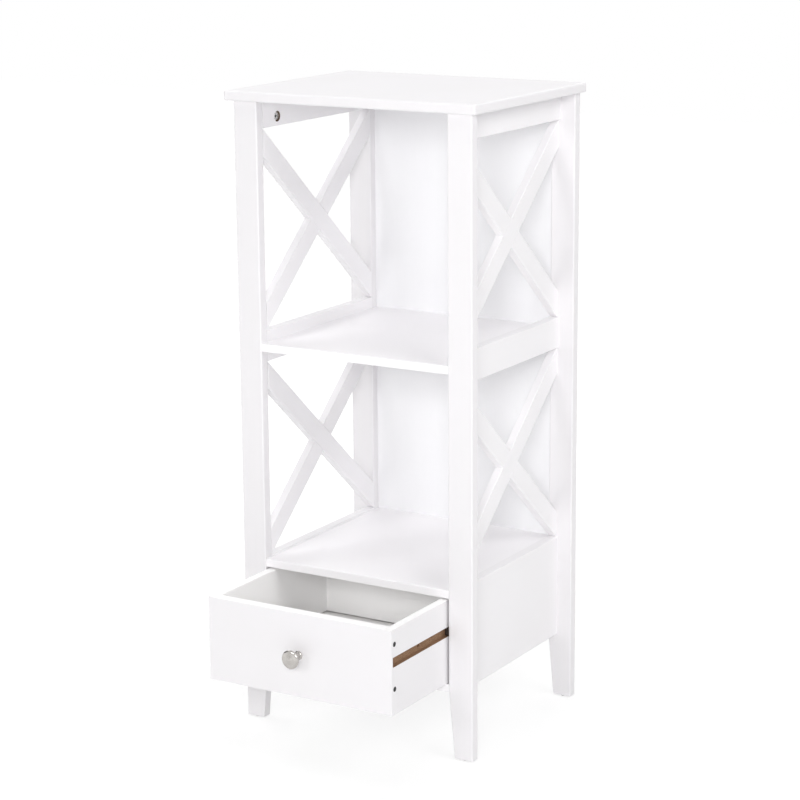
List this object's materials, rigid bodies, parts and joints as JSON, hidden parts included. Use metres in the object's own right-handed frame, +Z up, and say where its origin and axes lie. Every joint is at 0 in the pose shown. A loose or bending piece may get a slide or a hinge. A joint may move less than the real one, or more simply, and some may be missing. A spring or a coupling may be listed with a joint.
{
  "type": "bathroom shelf unit",
  "caption": "Tall free-standing painted shelf unit with X-braced open sides, shelves, a solid back, tapered feet and a drawer with a round knob below.",
  "frame": {"origin": "on the floor, in the middle of the outline of the four legs", "axes": "+Z up, front towards -Y, +X to the right of someone facing the front"},
  "size_m": [0.4, 0.4875, 0.92],
  "materials": {
    "white_paint": "white painted board, satin",
    "back_sheet": "white faced hardboard",
    "drawer_sheet": "pale faced hardboard",
    "bare_wood": "raw wood",
    "cam_zinc": "die-cast zinc",
    "plated_steel": "zinc plated",
    "dark_screw": "black oxide",
    "grey_plastic": "grey moulded plastic",
    "knob_nickel": "satin nickel"
  },
  "bodies": {
    "case": {"top_board": "white_paint", "leg_front_left": "white_paint", "leg_front_right": "white_paint", "leg_rear_left": "white_paint", "leg_rear_right": "white_paint", "upper_rail_left": "white_paint", "upper_rail_right": "white_paint", "middle_rail_left": "white_paint", "middle_rail_right": "white_paint", "side_panel_left": "white_paint", "side_panel_right": "white_paint", "upper_left_brace_rising": "white_paint", "upper_left_brace_falling": "white_paint", "upper_right_brace_rising": "white_paint", "upper_right_brace_falling": "white_paint", "lower_left_brace_rising": "white_paint", "lower_left_brace_falling": "white_paint", "lower_right_brace_rising": "white_paint", "lower_right_brace_falling": "white_paint", "middle_shelf": "white_paint", "lower_shelf": "white_paint", "bottom_board": "white_paint", "back_panel": "back_sheet", "drawer_runner_left": "bare_wood", "drawer_runner_right": "bare_wood", "side_frame_dowels": "bare_wood", "top_dowels": "bare_wood", "rail_cam_locks": "cam_zinc", "shelf_cam_locks": "cam_zinc", "cam_bolts": "plated_steel", "back_panel_nails": "plated_steel", "runner_screws": "plated_steel", "foot_glides": "grey_plastic"},
    "drawer": {"drawer_front": "white_paint", "drawer_side_left": "white_paint", "drawer_side_right": "white_paint", "drawer_back": "white_paint", "drawer_bottom": "drawer_sheet", "drawer_screws": "dark_screw", "drawer_knob": "knob_nickel", "knob_screw": "plated_steel"}
  },
  "joints": [
    {"name": "drawer_slide", "type": "slide", "parent": "case", "child": "drawer", "axis": [0, -1, 0], "range_m": [-0.148, 0.072]}
  ]
}
